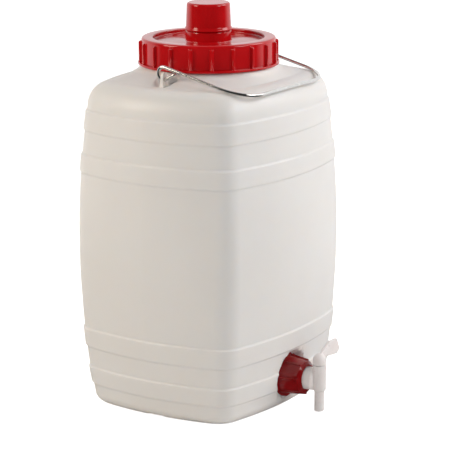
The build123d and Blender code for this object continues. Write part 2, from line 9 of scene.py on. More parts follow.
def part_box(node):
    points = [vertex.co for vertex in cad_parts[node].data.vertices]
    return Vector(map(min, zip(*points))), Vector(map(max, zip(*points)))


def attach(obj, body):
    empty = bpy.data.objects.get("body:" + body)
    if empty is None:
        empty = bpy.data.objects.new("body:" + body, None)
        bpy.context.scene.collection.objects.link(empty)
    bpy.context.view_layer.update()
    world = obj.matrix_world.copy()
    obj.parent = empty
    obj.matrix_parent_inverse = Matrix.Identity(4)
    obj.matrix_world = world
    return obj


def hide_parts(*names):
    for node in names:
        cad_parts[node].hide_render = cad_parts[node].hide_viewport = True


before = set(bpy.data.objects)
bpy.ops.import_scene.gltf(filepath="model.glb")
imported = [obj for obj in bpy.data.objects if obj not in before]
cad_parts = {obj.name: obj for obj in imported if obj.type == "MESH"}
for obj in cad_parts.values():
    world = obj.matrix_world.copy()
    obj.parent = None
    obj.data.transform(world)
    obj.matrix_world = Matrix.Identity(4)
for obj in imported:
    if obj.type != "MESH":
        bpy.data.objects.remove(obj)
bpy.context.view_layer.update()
MM = 0.001
TAU = 2 * math.pi


def corners(node):
    """A node's lowest and highest corners, in millimetres."""
    low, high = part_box(node)
    return [v / MM for v in low], [v / MM for v in high]


# ---- sizes in millimetres: those the frame gives, and the moulding's own ----
BARREL_LOW, BARREL_HIGH = corners("barrel")
LID_LOW, LID_HIGH = corners("lid")
CAP_LOW, CAP_HIGH = corners("cap")
BAIL_LOW, BAIL_HIGH = corners("bail")
NUT_LOW, NUT_HIGH = corners("union_nut")
TAP_HIGH = corners("tap_body")[1]

HALF_X = 127.1
HALF_Y = 112.1
BELLY_Z = 188.9
BELLY_ARC = 1040.0
FOOT_ARC_X = 305.0
FOOT_ARC_Y = 397.0
TOP_ARC_X = 212.0
TOP_ARC_Y = 300.0
WALL = 2.2
FOOT_RADIUS = 12.9
FOOT_CORNER = 24.0
UPPER_CORNER = 30.0
FOOT_PLAN_TO = 45.0
UPPER_CORNER_FROM = 115.0
SHOULDER_Z = 318.4
SHOULDER_RADIUS = 25.0
DOME_RISE = 8.5
DOME_CROWDING = 1.5       # above 1, the dome's rows are closer together at the neck
COVE_RISE = 2.5
COVE_POWER = 8            # the higher, the nearer to the neck the cove starts
HOOP_SPANS = ((21.0, 42.7), (62.3, 85.7), (248.2, 270.0), (292.1, 315.6))
HOOP_PROUD = 1.4
HOOP_SLOPE = 2.6          # height over which a hoop's edge rises
BASE_RIM = 16.0
BASE_PUSH_UP = 3.0
PUSH_UP_PROFILE = ((0.0, 0.85), (1.2, 0.5), (2.4, 0.15), (4.0, 0.0), (10.0, 0.0))   # out, share of height
PINCH_HALF = 10.0
PINCH_BLEND = 0.8
PINCH_DEPTH = 2.6

NECK_BORE_R = 61.0
NECK_R = 64.8
NECK_TOP = BARREL_HIGH[2]
COLLAR_R = 71.0
COLLAR_TOP = NECK_TOP - 23.6
LID_BOTTOM = LID_LOW[2]
LID_TOP = LID_BOTTOM + 27.6
LID_LIP_R = LID_HIGH[0]
SKIRT_R = LID_LIP_R - 3.8
SKIRT_BORE_R = SKIRT_R - 2.6
THREAD_STARTS = 2
THREAD_PROUD = 1.5
THREAD_LEAD = 16.0
THREAD_CREST = 0.10       # half widths of a ridge at its crest and root, as shares of its pitch
THREAD_ROOT = 0.26
THREAD_FADE = 2.5         # height over which a ridge ends

OUTLET_Z = (NUT_LOW[2] + NUT_HIGH[2]) / 2
NUT_CLEARANCE = 0.4
OUTLET_FACE_Y = -NUT_HIGH[1] - NUT_CLEARANCE
OUTLET_RECESS_R = 24.6
OUTLET_RECESS_BLEND = (1.0, 2.0)   # how far its edge reaches inside and outside that radius
OUTLET_R = TAP_HIGH[0]
OUTLET_BORE_R = 11.0
OUTLET_END = -BARREL_LOW[1]
OUTLET_THREAD_PROUD = 0.5
OUTLET_THREAD_LEAD = 3.0

PIVOT_Z = 356.6
WIRE_R = 1.8
BAIL_HALF_SPAN = BAIL_HIGH[0] - WIRE_R
EYE_R = BAIL_HIGH[2] - WIRE_R - PIVOT_Z
POCKET_R = 14.6
POCKET_HALF_LENGTH = 9.5
POCKET_BLEND = (2.0, 1.5)   # how far its end reaches inside and outside that length
LUG_LENGTH = 8.0
LUG_THICKNESS = 2.8
LUG_TOP = PIVOT_Z + 1.0
LUG_HOLE_R = WIRE_R + 0.5
LUG_FOOT_SPREAD = 3.5     # how much longer and thicker the lug is at its foot
LUG_TOP_SHARE = 0.15      # the part of its height over which its top narrows
LUG_TOP_CUT = 2.2
PARTING_PROUD = 0.25
PARTING_HALF = 2.0

SIDE_X_COLUMNS = 26       # plan points along half of each +X and -X side
CORNER_COLUMNS = 28
SIDE_Y_COLUMNS = 36
ROUND_COLUMNS = 96

# ---- small helpers ----

def soft_step(low, high, value):
    """Smooth rise from 0 at low to 1 at high."""
    share = max(0.0, min(1.0, (value - low) / (high - low)))
    return share * share * (3 - 2 * share)


def spread(low, high, count):
    """Evenly spaced values from low to high, both ends included."""
    return [low + (high - low) * i / count for i in range(count + 1)]


def skin(name, loops, wrap=False):
    """A smooth mesh through closed loops of points in millimetres; a loop of one point is a pole."""
    verts = [Vector(p) * MM for loop in loops for p in loop]
    starts = []
    total = 0
    for loop in loops:
        starts.append(total)
        total += len(loop)
    pairs = list(zip(range(len(loops) - 1), range(1, len(loops))))
    if wrap:
        pairs.append((len(loops) - 1, 0))
    faces = []
    for a, b in pairs:
        count = max(len(loops[a]), len(loops[b]))
        for i in range(count):
            j = (i + 1) % count
            corners_a = (starts[a] + i, starts[a] + j) if len(loops[a]) > 1 else (starts[a],)
            corners_b = (starts[b] + j, starts[b] + i) if len(loops[b]) > 1 else (starts[b],)
            faces.append(corners_a + corners_b)
    mesh = bpy.data.meshes.new(name)
    mesh.from_pydata(verts, [], faces)
    mesh.validate()
    shape = bmesh.new()
    shape.from_mesh(mesh)
    bmesh.ops.recalc_face_normals(shape, faces=shape.faces)
    shape.to_mesh(mesh)
    shape.free()
    piece = bpy.data.objects.new(name, mesh)
    bpy.context.scene.collection.objects.link(piece)
    shade_smooth(piece)
    return piece


def shade_smooth(piece, angle=50.0):
    """Smooth shading, with edges sharper than the angle kept crisp."""
    piece.data.shade_smooth()
    piece.data.set_sharp_from_angle(angle=math.radians(angle))


def apply_modifiers(piece):
    """Turns a piece's modifiers into its mesh."""
    graph = bpy.context.evaluated_depsgraph_get()
    mesh = bpy.data.meshes.new_from_object(piece.evaluated_get(graph))
    piece.modifiers.clear()
    piece.data = mesh


def combine(piece, others, operation):
    """Joins other closed meshes to a piece or cuts them from it, then removes them."""
    for other in others:
        change = piece.modifiers.new("combine", "BOOLEAN")
        change.operation = operation
        change.solver = "MANIFOLD"
        change.object = other
    apply_modifiers(piece)
    for other in others:
        bpy.data.objects.remove(other)


def rounded(points, steps=5):
    """A closed half section whose corners are rounded; points are (radius, height, rounding)."""
    result = []
    for i, (r, z, rounding) in enumerate(points):
        here = Vector((r, z))
        if rounding == 0:
            result.append((r, z))
            continue
        to_last = (Vector(points[i - 1][:2]) - here).normalized()
        to_next = (Vector(points[(i + 1) % len(points)][:2]) - here).normalized()
        half = to_last.angle(to_next) / 2
        centre = here + (to_last + to_next).normalized() * (rounding / math.sin(half))
        start = here + to_last * (rounding / math.tan(half)) - centre
        end = here + to_next * (rounding / math.tan(half)) - centre
        first = math.atan2(start.y, start.x)
        turn = (math.atan2(end.y, end.x) - first + math.pi) % TAU - math.pi
        for angle in spread(first, first + turn, steps):
            result.append((centre.x + rounding * math.cos(angle), centre.y + rounding * math.sin(angle)))
    return result


def finely(points, spacing):
    """The same section with its long straight stretches divided."""
    result = []
    for i, (r, z) in enumerate(points):
        after = points[(i + 1) % len(points)]
        parts = max(1, round(math.dist((r, z), after) / spacing))
        for k in range(parts):
            result.append((r + (after[0] - r) * k / parts, z + (after[1] - z) * k / parts))
    return result


def even_angles(count):
    """Bearings of one turn, evenly spaced."""
    return [TAU * i / count for i in range(count)]


def turned_loops(section, angles, relief=None):
    """Loops of a turned shape; relief(radius, height, angle) adds to the radius."""
    loops = []
    for r, z in section:
        if r < 1e-6:
            loops.append([(0.0, 0.0, z)])
            continue
        loop = []
        for angle in angles:
            reach = r + relief(r, z, angle) if relief else r
            loop.append((reach * math.cos(angle), reach * math.sin(angle), z))
        loops.append(loop)
    return loops


def moved(loops, move):
    """The same loops with each point passed through a function."""
    return [[move(p) for p in loop] for loop in loops]


def along_outlet(point):
    """From a shape turned about Z to the spigot's axis, where height is the distance from the middle."""
    x, y, distance = point
    return (x, -distance, OUTLET_Z + y)


def thread(z, angle, low, high, lead, starts):
    """Share of its full height that a rounded screw ridge has at a place, faded at both ends."""
    turn = (z / lead - angle / TAU) * starts
    off = abs(turn - math.floor(turn) - 0.5)
    ridge = 1 - soft_step(THREAD_CREST, THREAD_ROOT, off)
    return ridge * soft_step(low, low + THREAD_FADE, z) * (1 - soft_step(high - THREAD_FADE, high, z))


# ---- the barrel ----

def belly_half_x(z):
    """Half the barrel's width along X at a height, without the hoops."""
    return HALF_X - (z - BELLY_Z) ** 2 / (2 * BELLY_ARC)


def share_of_rise(z, low, high):
    """How far a height is from one level to another, from 0 to 1."""
    return min(1.0, max(0.0, (z - low) / (high - low)))


def corner_radius(z):
    """The plan corner's radius on the side, which grows from the foot upwards."""
    return FOOT_CORNER + (UPPER_CORNER - FOOT_CORNER) * share_of_rise(z, FOOT_PLAN_TO, UPPER_CORNER_FROM)


def arc(centre, radius, first, last, count):
    """Points along an arc, without its last one."""
    points = []
    for angle in spread(first, last, count)[:-1]:
        points.append((centre[0] + radius * math.cos(angle), centre[1] + radius * math.sin(angle)))
    return points


def outline(half_x, corner, z):
    """Plan outline of tangent arcs at a height, with the same number of points at every height."""
    half_y = half_x - (HALF_X - HALF_Y)
    share = share_of_rise(z, FOOT_PLAN_TO, SHOULDER_Z)
    arc_x = FOOT_ARC_X + (TOP_ARC_X - FOOT_ARC_X) * share
    arc_y = FOOT_ARC_Y + (TOP_ARC_Y - FOOT_ARC_Y) * share
    side_x = (half_x - arc_x, 0.0)
    side_y = (0.0, half_y - arc_y)
    reach_x = arc_x - corner
    reach_y = arc_y - corner
    gap = math.dist(side_x, side_y)
    along = (reach_x ** 2 - reach_y ** 2 + gap ** 2) / (2 * gap)
    across = math.sqrt(reach_x ** 2 - along ** 2)
    ux = (side_y[0] - side_x[0]) / gap
    uy = (side_y[1] - side_x[1]) / gap
    centre = (side_x[0] + ux * along - uy * across, side_x[1] + uy * along + ux * across)
    angle_x = math.atan2(centre[1] - side_x[1], centre[0] - side_x[0])
    angle_y = math.atan2(centre[1] - side_y[1], centre[0] - side_y[0])
    quarter = arc(side_x, arc_x, 0.0, angle_x, SIDE_X_COLUMNS)
    quarter += arc(centre, corner, angle_x, angle_y, CORNER_COLUMNS)
    quarter += arc(side_y, arc_y, angle_y, math.pi / 2, SIDE_Y_COLUMNS)
    upper = quarter + [(0.0, half_y)] + [(-x, y) for x, y in reversed(quarter[1:])]
    return upper + [(-x, -y) for x, y in upper]


def circle_like(points, radius):
    """Points of a circle at the same bearings as a loop's."""
    bearings = [math.atan2(y, x) for x, y in points]
    return [(radius * math.cos(b), radius * math.sin(b)) for b in bearings]


def between(first, second, share):
    """The loop that lies a share of the way from one loop to another."""
    return [(a + (c - a) * share, b + (d - b) * share) for (a, b), (c, d) in zip(first, second)]


def at_height(points, z):
    """A plan outline raised to a height."""
    return [(x, y, z) for x, y in points]


def hoop_height(z):
    """How far the hoops stand out at a height."""
    out = 0.0
    for low, high in HOOP_SPANS:
        out += soft_step(low, low + HOOP_SLOPE, z) * (1 - soft_step(high - HOOP_SLOPE, high, z))
    return HOOP_PROUD * out


def side_heights(spacing, edge_rows):
    """Heights of the side's rows, closer together on the hoops' edges."""
    margin = 1.0
    edges = [z for low, high in HOOP_SPANS for z in (low, high - HOOP_SLOPE)]
    heights = spread(FOOT_RADIUS, SHOULDER_Z, round((SHOULDER_Z - FOOT_RADIUS) / spacing))
    for edge in edges:
        heights = [z for z in heights if not edge - margin < z < edge + HOOP_SLOPE + margin]
    for edge in edges:
        heights += spread(edge - margin / 2, edge + HOOP_SLOPE + margin / 2, edge_rows)
    return sorted(heights)


def outlet_recess(point, inset):
    """Presses the flat seat round the outlet into the spigot's side."""
    x, y, z = point
    if y > 0:
        return point
    away = math.hypot(x, z - OUTLET_Z)
    inside, outside = OUTLET_RECESS_BLEND
    share = 1 - soft_step(OUTLET_RECESS_R - inside, OUTLET_RECESS_R + outside, away)
    seat = -OUTLET_FACE_Y + inset
    return (x, y + max(0.0, seat - y) * share, z)


def hook_hollow(point, inset):
    """Presses the scoop for each eye of the bail into the shoulder."""
    x, y, z = point
    if z < SHOULDER_Z:
        return point
    radius = POCKET_R + inset
    across = abs(abs(x) - BAIL_HALF_SPAN)
    if abs(y) >= radius:
        return point
    bottom = PIVOT_Z - math.sqrt(radius ** 2 - y ** 2)
    inside, outside = POCKET_BLEND
    share = 1 - soft_step(POCKET_HALF_LENGTH - inside, POCKET_HALF_LENGTH + outside, across)
    return (x, y, z - max(0.0, z - bottom) * share)


def pinch_groove(point):
    """Lifts the foot where the mould's pinch-off crosses it."""
    x, y, z = point
    share = 1 - soft_step(PINCH_HALF - PINCH_BLEND, PINCH_HALF + PINCH_BLEND, abs(y))
    return (x, y, z + max(0.0, PINCH_DEPTH - z) * share)


def parting_line(point):
    """The faint seam that the two mould halves leave at y = 0."""
    x, y, z = point
    ridge = PARTING_PROUD * (1 - soft_step(0.0, PARTING_HALF, abs(y)))
    return (x + math.copysign(ridge, x), y, z)


def press(loops, inset):
    """All the features pressed into the barrel's wall, for the outer skin or, inset, the inner one."""
    return moved(loops, lambda p: hook_hollow(outlet_recess(p, inset), inset))


def foot_loops(inset, rows):
    """The rounded foot, from the floor up to the side."""
    centre = belly_half_x(FOOT_RADIUS) - FOOT_RADIUS
    radius = FOOT_RADIUS - inset
    loops = []
    for angle in spread(0.0, math.pi / 2, rows):
        half = centre + radius * math.sin(angle)
        z = FOOT_RADIUS - radius * math.cos(angle)
        loops.append(at_height(outline(half, FOOT_CORNER - inset, z), z))
    return loops


def base_loops(inset):
    """From the middle of the base out to its rim, with the push-up."""
    hollow = belly_half_x(FOOT_RADIUS) - FOOT_RADIUS - BASE_RIM
    corner = FOOT_CORNER - BASE_RIM
    plan = outline(hollow, corner, 0.0)
    top = BASE_PUSH_UP + inset
    loops = [[(0.0, 0.0, top)]]
    for share in (0.15, 0.4, 0.7, 0.94):
        loops.append(at_height([(x * share, y * share) for x, y in plan], top))
    for out, up in PUSH_UP_PROFILE:
        loops.append(at_height(outline(hollow + out, corner + out, 0.0), inset + BASE_PUSH_UP * up))
    return loops


def side_loops(inset, spacing, edge_rows):
    """The belly with its hoops, from the foot up to the shoulder."""
    loops = []
    for z in side_heights(spacing, edge_rows)[1:]:
        half = belly_half_x(z) + hoop_height(z) - inset
        loops.append(at_height(outline(half, corner_radius(z) - inset, z), z))
    return loops


def shoulder_loops(inset, rows):
    """The rounded edge between the side and the dome."""
    centre = belly_half_x(SHOULDER_Z) - SHOULDER_RADIUS
    radius = SHOULDER_RADIUS - inset
    loops = []
    for angle in spread(0.0, math.pi / 2, rows)[1:]:
        drawn_in = radius * (1 - math.cos(angle))
        z = SHOULDER_Z + radius * math.sin(angle)
        corner = UPPER_CORNER - inset - drawn_in / 2
        loops.append(at_height(outline(centre + radius - drawn_in, corner, z), z))
    return loops


def dome_loops(edge_loop, end_radius, rise, cove, rows):
    """Slope from the shoulder's edge to the neck, with the cove at its root."""
    edge = [(x, y) for x, y, z in edge_loop]
    edge_z = edge_loop[0][2]
    round_end = circle_like(edge, end_radius)
    loops = []
    for i in range(1, rows + 1):
        share = 1 - (1 - i / rows) ** DOME_CROWDING
        z = edge_z + rise * share + cove * share ** COVE_POWER
        loops.append(at_height(between(edge, round_end, share), z))
    return loops


def ring_loops(columns, section, relief=None):
    """Turned loops at the same bearings as a loop of the barrel."""
    angles = [math.atan2(y, x) for x, y, z in columns]
    return turned_loops(section, angles, relief)


def neck_relief(r, z, angle):
    """The neck's thread."""
    return THREAD_PROUD * thread(z, angle, COLLAR_TOP + 1.5, NECK_TOP - 1.5, THREAD_LEAD, THREAD_STARTS)


def barrel_skin():
    """Outer and inner walls as one closed mesh."""
    outer = base_loops(0.0) + foot_loops(0.0, 9) + side_loops(0.0, 5.0, 7) + shoulder_loops(0.0, 12)
    outer += dome_loops(outer[-1], COLLAR_R, DOME_RISE, COVE_RISE, 26)
    outer = moved(press(outer, 0.0), pinch_groove)
    outer = moved(outer, parting_line)
    columns = outer[-1]
    collar = [(COLLAR_R, COLLAR_TOP - 0.8), (COLLAR_R - 0.8, COLLAR_TOP), (NECK_R + 1.0, COLLAR_TOP)]
    neck = [(NECK_R, z) for z in spread(COLLAR_TOP + 0.6, NECK_TOP - 1.0, 34)]
    lip = [(NECK_R - 0.4, NECK_TOP - 0.3), (NECK_R - 1.0, NECK_TOP), (NECK_BORE_R + 1.0, NECK_TOP)]
    lip += [(NECK_BORE_R + 0.3, NECK_TOP - 0.3), (NECK_BORE_R, NECK_TOP - 1.0)]
    inner = base_loops(WALL) + foot_loops(WALL, 4) + side_loops(WALL, 14.0, 2) + shoulder_loops(WALL, 4)
    edge_x = max(x for x, y, z in inner[-1])
    rise = DOME_RISE * (edge_x - NECK_BORE_R) / (edge_x - COLLAR_R)
    inner += dome_loops(inner[-1], NECK_BORE_R, rise, 0.0, 8)
    inner = press(inner, WALL)
    loops = outer + ring_loops(columns, collar) + ring_loops(columns, neck, neck_relief)
    loops += ring_loops(columns, lip) + list(reversed(inner))
    return skin("barrel_shell", loops)


def lug(side):
    """The fin that the bail hooks through, wider towards its foot."""
    foot = PIVOT_Z - POCKET_R - WALL / 2
    slabs = []
    for share in spread(0.0, 1.0, 12):
        z = foot + (LUG_TOP - foot) * share
        half_x = (LUG_LENGTH + LUG_FOOT_SPREAD * (1 - share) ** 3) / 2
        half_y = (LUG_THICKNESS + LUG_FOOT_SPREAD * (1 - share) ** 4) / 2
        cut = LUG_TOP_CUT * max(0.0, share - (1 - LUG_TOP_SHARE)) / LUG_TOP_SHARE
        slabs.append([(side * BAIL_HALF_SPAN + sx * (half_x - cut), sy * half_y, z)
                      for sx, sy in ((1, 1), (-1, 1), (-1, -1), (1, -1))])
    middle = side * BAIL_HALF_SPAN
    fin = skin("lug", [[(middle, 0.0, foot)]] + slabs + [[(middle, 0.0, LUG_TOP)]])
    reach = 6.0
    hole_z = PIVOT_Z - EYE_R
    ends = [(0.0, -reach), (LUG_HOLE_R, -reach), (LUG_HOLE_R, reach), (0.0, reach)]
    loops = turned_loops(ends, even_angles(28))
    hole = skin("hole", moved(loops, lambda p: (middle + p[0], p[2], hole_z + p[1])))
    combine(fin, [hole], "DIFFERENCE")
    return fin


def outlet_stub():
    """Threaded tube that the union nut is screwed to."""
    length_in = OUTLET_FACE_Y - WALL / 2
    section = rounded([
        (OUTLET_BORE_R, length_in, 0), (OUTLET_R, length_in, 0),
        (OUTLET_R, OUTLET_END, 0.5), (OUTLET_BORE_R, OUTLET_END, 0.5),
    ])

    def relief(r, z, angle):
        if r < OUTLET_R - 0.1:
            return 0.0
        low = OUTLET_FACE_Y + 1.0
        high = OUTLET_END - 0.5
        return OUTLET_THREAD_PROUD * thread(z, angle, low, high, OUTLET_THREAD_LEAD, 1)

    loops = turned_loops(finely(section, 0.6), even_angles(ROUND_COLUMNS), relief)
    return skin("stub", moved(loops, along_outlet), wrap=True)


def outlet_drill():
    """What is cut out of the wall and the tube for the outlet's bore."""
    start = OUTLET_FACE_Y - 8.0
    end = OUTLET_END + 5.0
    ends = [(0.0, start), (OUTLET_BORE_R, start), (OUTLET_BORE_R, end), (0.0, end)]
    return skin("drill", moved(turned_loops(ends, even_angles(ROUND_COLUMNS)), along_outlet))


def barrel():
    """The whole moulding: both walls, the lugs and the outlet with its bore."""
    piece = barrel_skin()
    combine(piece, [lug(-1), lug(1), outlet_stub()], "UNION")
    combine(piece, [outlet_drill()], "DIFFERENCE")
    shade_smooth(piece, 40.0)
    return piece


# ---- lid and cap ----

LID_CEILING = NECK_TOP + 2.4
RECESS_R = SKIRT_R - 12.0
RECESS_FLOOR = LID_TOP - 4.2
BOSS_R = 23.6
BOSS_TOP = RECESS_FLOOR + 10.9
FILLER_BORE_R = 16.5
FILLER_R = 19.5
FILLER_TOP = LID_HIGH[2]
LID_WALL = 2.6
RIB_COUNT = 20
RIB_PROUD = 2.9
RIB_TOP = LID_TOP - 3.5
RIB_END = 1.8             # height of the round at a rib's top
RIB_PLACES = (0.0, 0.45, 0.85, 1.15, 1.45, 1.75, 2.05, 2.5, 3.4, 5.6, 8.4)   # from a rib's middle
FILLER_THREAD_PROUD = 0.55
FILLER_THREAD_LEAD = 9.0
FILLER_THREAD_STARTS = 3


def rib_angles(count, radius, places):
    """Bearings round a ribbed wall, crowded on the ribs' sides."""
    angles = []
    for i in range(count):
        middle = TAU * i / count
        angles += [middle + place / radius for place in places]
        angles += [middle + TAU / count - place / radius for place in reversed(places[1:])]
    return angles


def rib_share(angle, radius, count, crest, root):
    """1 on a rib's crest and 0 between the ribs."""
    period = TAU / count
    off = (angle + period / 2) % period - period / 2
    return 1 - soft_step(crest, root, abs(off) * radius)


def lid_relief(r, z, angle):
    """The skirt's ribs, the thread inside it and the filler neck's thread."""
    if abs(r - SKIRT_R) < 0.7 and z < RIB_TOP + 1.0:
        end = math.sqrt(max(0.0, 1 - max(0.0, (z - RIB_TOP + RIB_END) / RIB_END) ** 2))
        reach = SKIRT_R + RIB_PROUD * end - r
        return max(0.0, reach) * rib_share(angle, SKIRT_R, RIB_COUNT, 0.7, 2.2)
    if abs(r - SKIRT_BORE_R) < 0.01 and z < LID_CEILING - 1.0:
        shifted = z + THREAD_LEAD / THREAD_STARTS / 2
        low = LID_BOTTOM + 5.0
        high = LID_CEILING + 2.0
        return -THREAD_PROUD * thread(shifted, angle, low, high, THREAD_LEAD, THREAD_STARTS)
    if abs(r - FILLER_R) < 0.01 and BOSS_TOP + 1 < z < FILLER_TOP - 1:
        low = BOSS_TOP + 3.0
        high = FILLER_TOP - 2.0
        ridge = thread(z, angle, low, high, FILLER_THREAD_LEAD, FILLER_THREAD_STARTS)
        return FILLER_THREAD_PROUD * ridge
    return 0.0


def lid():
    """The screw lid, one closed section turned round, with rows added where it has relief."""
    spacing = 0.8
    lip_top = LID_BOTTOM + 2.0
    underside = RECESS_FLOOR - LID_WALL
    outside = rounded([
        (SKIRT_BORE_R, LID_BOTTOM, 0.3), (LID_LIP_R, LID_BOTTOM, 0.4), (LID_LIP_R, lip_top, 0.7),
        (SKIRT_R, lip_top + 0.6, 0), (SKIRT_R, LID_TOP, 2.2), (RECESS_R, LID_TOP, 1.1),
        (RECESS_R, RECESS_FLOOR, 1.2), (BOSS_R, RECESS_FLOOR, 1.0), (BOSS_R, BOSS_TOP, 1.4),
        (FILLER_R, BOSS_TOP, 0.4), (FILLER_R, FILLER_TOP, 0.7), (FILLER_BORE_R, FILLER_TOP, 0.7),
        (FILLER_BORE_R, BOSS_TOP - LID_WALL, 0.5), (BOSS_R - LID_WALL, BOSS_TOP - LID_WALL, 0.5),
        (BOSS_R - LID_WALL, underside, 0.8), (RECESS_R + LID_WALL, underside, 0.8),
        (RECESS_R + LID_WALL, LID_CEILING, 0.4), (SKIRT_BORE_R, LID_CEILING, 0.4),
    ])
    section = []
    for i, (r, z) in enumerate(outside):
        section.append((r, z))
        after = outside[(i + 1) % len(outside)]
        if abs(r - SKIRT_R) < 0.01 and abs(after[0] - SKIRT_R) < 0.01:
            section += [(SKIRT_R, RIB_TOP - 2.2 + 0.35 * k) for k in range(8)]
        elif abs(r - after[0]) < 0.01 and (abs(r - SKIRT_BORE_R) < 0.01 or abs(r - FILLER_R) < 0.01):
            section += finely([(r, z), after], spacing)[1:round(abs(after[1] - z) / spacing)]
    loops = turned_loops(section, rib_angles(RIB_COUNT, SKIRT_R, RIB_PLACES), lid_relief)
    return skin("screw_lid", loops, wrap=True)


CAP_BORE_R = 20.3
CAP_LIP_R = CAP_HIGH[0]
CAP_R = CAP_LIP_R - 1.3
CAP_TOP_R = CAP_R - 1.1
CAP_BOTTOM = CAP_LOW[2]
CAP_TOP = CAP_HIGH[2]


def cap():
    """The filler neck's cap, with a low dish in its top."""
    ceiling = CAP_TOP - 3.2
    section = [(0.0, ceiling)] + rounded([
        (CAP_BORE_R, ceiling, 0), (CAP_BORE_R, CAP_BOTTOM, 0.4), (CAP_LIP_R, CAP_BOTTOM, 0.5),
        (CAP_LIP_R, CAP_BOTTOM + 1.4, 0.8), (CAP_R, CAP_BOTTOM + 3.8, 1.6), (CAP_TOP_R, CAP_TOP, 2.6),
        (CAP_TOP_R - 4.4, CAP_TOP - 0.5, 1.5), (0.0, CAP_TOP - 0.5, 0),
    ], 7)
    return skin("filler_cap", turned_loops(section, even_angles(144)))


# ---- wire bail ----

BAR_Y = -BAIL_LOW[1] - WIRE_R
BAR_Z = BAIL_LOW[2] + WIRE_R
BAIL_BEND_R = 32.0
EYE_TAIL_ANGLE = 27.0      # degrees that the eye goes past straight down
EYE_TAIL = 12.5
WIRE_COLUMNS = 20
WIRE_END_ROUND = 0.35
WIRE_END_SHARE = 0.8


def arc_between(centre, start, end, count):
    """Points from start to end about a centre, the short way round."""
    a = start - centre
    b = end - centre
    turn = a.angle(b)
    axis = a.cross(b).normalized()
    return [centre + Matrix.Rotation(turn * i / count, 3, axis) @ a for i in range(count + 1)]


def bail_path():
    """Centreline of the whole wire: eye, arm, bar, arm, eye."""
    drop = PIVOT_Z - BAR_Z
    slant = math.atan2(drop, BAR_Y) + math.asin(EYE_R / math.hypot(drop, BAR_Y))
    arm = Vector((0, -math.cos(slant), -math.sin(slant)))
    last = math.pi + math.radians(EYE_TAIL_ANGLE)
    x = BAIL_HALF_SPAN

    def on_eye(angle):
        return Vector((x, EYE_R * math.sin(angle), PIVOT_Z + EYE_R * math.cos(angle)))

    tail = on_eye(last) + Vector((0, math.cos(last), -math.sin(last))) * EYE_TAIL
    points = [tail.lerp(on_eye(last), share) for share in (0.0, 0.25, 0.5, 0.75)]
    points += [on_eye(angle) for angle in spread(last, -slant, 44)]
    corner = Vector((x, -BAR_Y, BAR_Z))
    bend_start = corner - arm * BAIL_BEND_R
    bend_end = corner - Vector((BAIL_BEND_R, 0, 0))
    centre = bend_start - Vector((BAIL_BEND_R, 0, 0))
    points += [points[-1].lerp(bend_start, share) for share in (0.25, 0.5, 0.75)]
    points += arc_between(centre, bend_start, bend_end, 20)
    half = [points[-1].lerp(Vector((0, -BAR_Y, BAR_Z)), share) for share in (0.33, 0.67)]
    right = points + half
    left = [Vector((-p.x, p.y, p.z)) for p in reversed(right)]
    return right + [Vector((0, -BAR_Y, BAR_Z))] + left


def bail():
    """A round wire along the path, its ends cut with a small round-over."""
    path = bail_path()
    first = (path[1] - path[0]).normalized()
    normal = first.orthogonal().normalized()
    loops = []
    last = len(path) - 1
    for i, point in enumerate(path):
        along = (path[min(i + 1, last)] - path[max(i - 1, 0)]).normalized()
        normal = (normal - along * normal.dot(along)).normalized()
        other = along.cross(normal)
        ring = []
        for angle in even_angles(WIRE_COLUMNS):
            ring.append(point + (normal * math.cos(angle) + other * math.sin(angle)) * WIRE_R)
        if i in (0, last):
            outward = along * (1 if i else -1)
            small = [point + (p - point) * WIRE_END_SHARE for p in ring]
            ring = [p - outward * WIRE_END_ROUND for p in ring]
            loops += [[point], small, ring] if i == 0 else [ring, small, [point]]
        else:
            loops.append(ring)
    return skin("wire_bail", loops)


# ---- spigot ----

NUT_BACK = OUTLET_FACE_Y + NUT_CLEARANCE
NUT_FRONT = -NUT_LOW[1]
NUT_WALL_END = NUT_FRONT - 2.8
NUT_BORE_R = OUTLET_R + 0.6
NUT_BACK_R = NUT_BORE_R + 4.0
NUT_FRONT_R = NUT_BORE_R + 1.4
NUT_FLANGE_R = NUT_BACK_R + 3.5
NUT_FLANGE_FRONT = NUT_BACK + 1.8
NUT_RIB_COUNT = 7
NUT_RIB_TURN = math.radians(19.6)
NUT_RIB_PROUD = 1.6
NUT_RIB_PLACES = (0.0, 0.4, 0.7, 0.95, 1.2, 1.45, 1.7, 2.1, 3.0, 5.0)
FLANGE_FRONT = NUT_FRONT - 4.4
TAP_BARREL_HOLE_R = 12.4


def nut_wall(distance):
    """The nut's tapered wall, without its ribs."""
    share = (distance - NUT_FLANGE_FRONT) / (NUT_WALL_END - NUT_FLANGE_FRONT)
    return NUT_BACK_R + (NUT_FRONT_R - NUT_BACK_R) * share


def nut_relief(r, distance, angle):
    """The nut's ribs, which end where its front slopes in."""
    if r < nut_wall(distance) - 0.9 or distance < NUT_FLANGE_FRONT - 0.1:
        return 0.0
    reach = nut_wall(distance) + NUT_RIB_PROUD - r
    end = 1 - soft_step(NUT_WALL_END - 0.3, NUT_WALL_END + 0.6, distance)
    share = rib_share(angle - NUT_RIB_TURN, NUT_BACK_R, NUT_RIB_COUNT, 0.55, 1.25)
    return max(0.0, reach) * share * end


